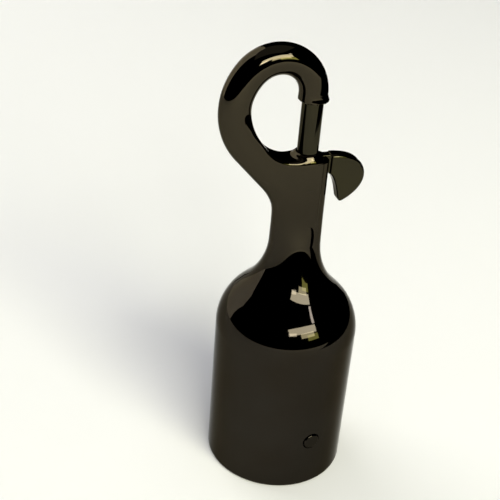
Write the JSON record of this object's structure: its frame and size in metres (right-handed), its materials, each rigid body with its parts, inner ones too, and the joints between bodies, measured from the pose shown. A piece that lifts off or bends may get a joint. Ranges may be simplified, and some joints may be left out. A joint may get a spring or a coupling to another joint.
{
  "type": "barrier rope snap hook",
  "caption": "Polished black nickel rope end: a round cup for a thick barrier rope, with a spring bolt snap hook on top.",
  "frame": {"origin": "middle of the cup's flat roof, where the rope's end seats", "axes": "+Z along the cup's axis, up to the hook; the hook's arm lies in the XZ plane with its back towards -X and its thumb tab towards +X"},
  "size_m": [0.0438, 0.0405, 0.128],
  "materials": {
    "hook_body": "polished black nickel plate",
    "bolt": "polished black nickel plate",
    "thumb_tab": "polished black nickel plate",
    "bolt_spring": "drawn spring steel wire",
    "spring_plug": "turned steel",
    "rope_pin": "black nickel plate, slightly worn"
  },
  "bodies": {
    "casting": {"hook_body": "hook_body", "bolt_spring": "bolt_spring", "spring_plug": "spring_plug", "rope_pin": "rope_pin"},
    "bolt_and_tab": {"bolt": "bolt", "thumb_tab": "thumb_tab"}
  },
  "joints": [
    {"name": "bolt_slide", "type": "slide", "parent": "casting", "child": "bolt_and_tab", "axis": [0, 0, -1], "range_m": [0, 0.015], "stiffness_N_per_m": 400, "springref_m": -0.008, "deforming": ["bolt_spring"]}
  ]
}
